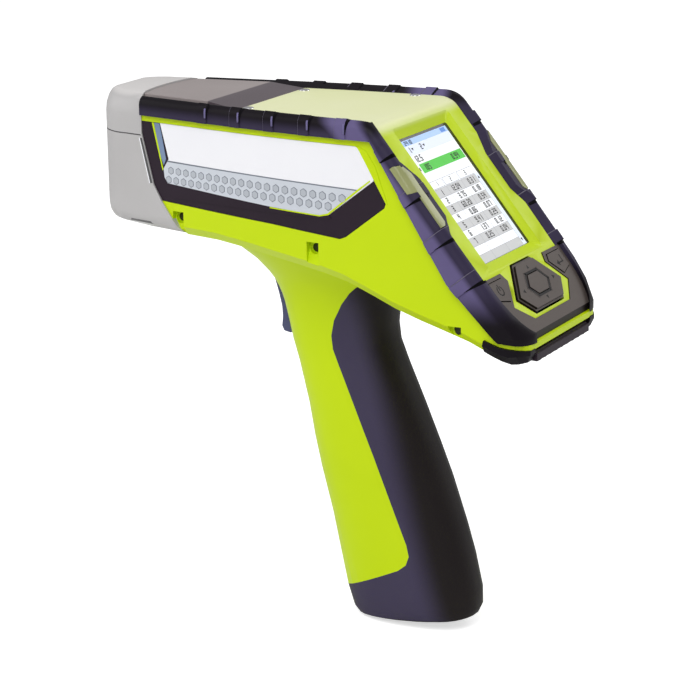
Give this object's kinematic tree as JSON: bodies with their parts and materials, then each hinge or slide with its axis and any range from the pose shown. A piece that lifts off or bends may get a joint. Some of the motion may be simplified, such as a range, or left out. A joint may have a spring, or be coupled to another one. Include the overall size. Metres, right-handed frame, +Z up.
{
  "type": "handheld x-ray fluorescence analyzer",
  "caption": "Handheld x-ray fluorescence analyzer with a battery pistol grip, sprung trigger, blunt sensing nose, sloping touch screen, keypad and ribbed rubber bumpers.",
  "frame": {"origin": "middle of the overall length and width, at the lowest point of the handle", "axes": "+X to the rear foot (the nose points to -X), +Y to the side with the enter key, +Z up"},
  "size_m": [0.212, 0.0886, 0.2256],
  "materials": {
    "neon_plastic": "fine moulded texture, satin",
    "grip_rubber": "soft rubber, fine grain",
    "bumper_rubber": "soft rubber with a faint sheen",
    "dark_plastic": "satin",
    "key_plastic": "fine grain, satin",
    "nose_plastic": "satin",
    "label_film": "printed film, satin",
    "trigger_plastic": "smooth, satin",
    "screen_glass": "smooth glass over a lit panel",
    "lens_plastic": "translucent, polished",
    "window_polymer": "thin clear amber film",
    "steel": "satin",
    "aluminium": "machined",
    "bright_steel": "turned",
    "brass": "machined",
    "battery_plastic": "satin",
    "supply_resin": "potted block",
    "board": "solder mask"
  },
  "bodies": {
    "analyzer_body": {"left_housing": "neon_plastic", "right_housing": "neon_plastic", "grip": "grip_rubber", "display_cover": "neon_plastic", "top_cover": "dark_plastic", "left_bumper": "bumper_rubber", "right_bumper": "bumper_rubber", "left_side_frame": "dark_plastic", "right_side_frame": "dark_plastic", "left_label_plate": "label_film", "right_label_plate": "label_film", "left_rear_corner": "bumper_rubber", "right_rear_corner": "bumper_rubber", "nose_upper": "nose_plastic", "nose_lower": "nose_plastic", "window_bracket": "steel", "window_film": "window_polymer", "touch_screen": "screen_glass", "display_module": "aluminium", "lower_bezel": "key_plastic", "left_indicator_lens": "lens_plastic", "right_indicator_lens": "lens_plastic", "flap_pin": "steel", "usb_port": "steel", "power_jack": "steel", "trigger_pin": "steel", "trigger_spring": "steel", "trigger_switch": "dark_plastic", "deck_screws": "steel", "housing_screws": "steel", "bracket_screws": "steel", "optics_plate": "aluminium", "xray_tube": "aluminium", "detector": "bright_steel", "filter_motor": "aluminium", "high_voltage_supply": "supply_resin", "heat_spreader": "aluminium", "main_board": "board", "key_board": "board", "battery_contacts": "brass"},
    "trigger": {"trigger": "trigger_plastic"},
    "pad_rocker": {"pad_pivot": "steel"},
    "direction_pad": {"direction_pad": "key_plastic"},
    "select_button": {"select_button": "key_plastic"},
    "power_key": {"power_key": "key_plastic"},
    "enter_key": {"enter_key": "key_plastic"},
    "nose_button": {"nose_button": "battery_plastic"},
    "port_flap": {"port_flap": "dark_plastic"},
    "battery": {"battery_pack": "battery_plastic", "battery_cap": "dark_plastic"},
    "filter_wheel": {"filter_wheel": "brass"},
    "filter_pinion": {"filter_pinion": "brass"}
  },
  "joints": [
    {"name": "trigger_pull", "type": "hinge", "parent": "analyzer_body", "child": "trigger", "pos_m": [-0.014, 0, 0.1503], "axis": [0, -1, 0], "range_deg": [0, 6], "stiffness_Nm_per_rad": 0.6, "springref_deg": -14.32},
    {"name": "pad_rock_along", "type": "hinge", "parent": "analyzer_body", "child": "pad_rocker", "pos_m": [0.08816, 0, 0.1513], "axis": [0, 1, 0], "range_deg": [-1.2, 1.2], "stiffness_Nm_per_rad": 1.5},
    {"name": "pad_rock_across", "type": "hinge", "parent": "pad_rocker", "child": "direction_pad", "pos_m": [0.08816, 0, 0.1513], "axis": [0.6293, 0, -0.7771], "range_deg": [-1.2, 1.2], "stiffness_Nm_per_rad": 1.5},
    {"name": "select_press", "type": "slide", "parent": "analyzer_body", "child": "select_button", "axis": [-0.7771, 0, -0.6293], "range_m": [0, 0.0008], "stiffness_N_per_m": 900, "springref_m": -0.001},
    {"name": "power_press", "type": "slide", "parent": "analyzer_body", "child": "power_key", "axis": [-0.7771, 0, -0.6293], "range_m": [0, 0.0008], "stiffness_N_per_m": 900, "springref_m": -0.001},
    {"name": "enter_press", "type": "slide", "parent": "analyzer_body", "child": "enter_key", "axis": [-0.7771, 0, -0.6293], "range_m": [0, 0.0008], "stiffness_N_per_m": 900, "springref_m": -0.001},
    {"name": "nose_button_press", "type": "slide", "parent": "analyzer_body", "child": "nose_button", "axis": [1, 0, 0], "range_m": [0, 0.0012], "stiffness_N_per_m": 700, "springref_m": -0.001},
    {"name": "flap_hinge", "type": "hinge", "parent": "analyzer_body", "child": "port_flap", "pos_m": [0.1036, 0, 0.1323], "axis": [0, -1, 0], "range_deg": [0, 110]},
    {"name": "battery_slide", "type": "slide", "parent": "analyzer_body", "child": "battery", "axis": [0.2588, 0, -0.9659], "range_m": [0, 0.1]},
    {"name": "filter_turn", "type": "hinge", "parent": "analyzer_body", "child": "filter_wheel", "pos_m": [-0.0965, 0, 0.1842], "axis": [1, 0, 0], "continuous": true},
    {"name": "pinion_turn", "type": "hinge", "parent": "analyzer_body", "child": "filter_pinion", "pos_m": [-0.0965, 0.01447, 0.17893], "axis": [1, 0, 0], "continuous": true}
  ],
  "couplings": [
    {"joint": "pinion_turn", "follows": "filter_turn", "ratio": -3}
  ]
}
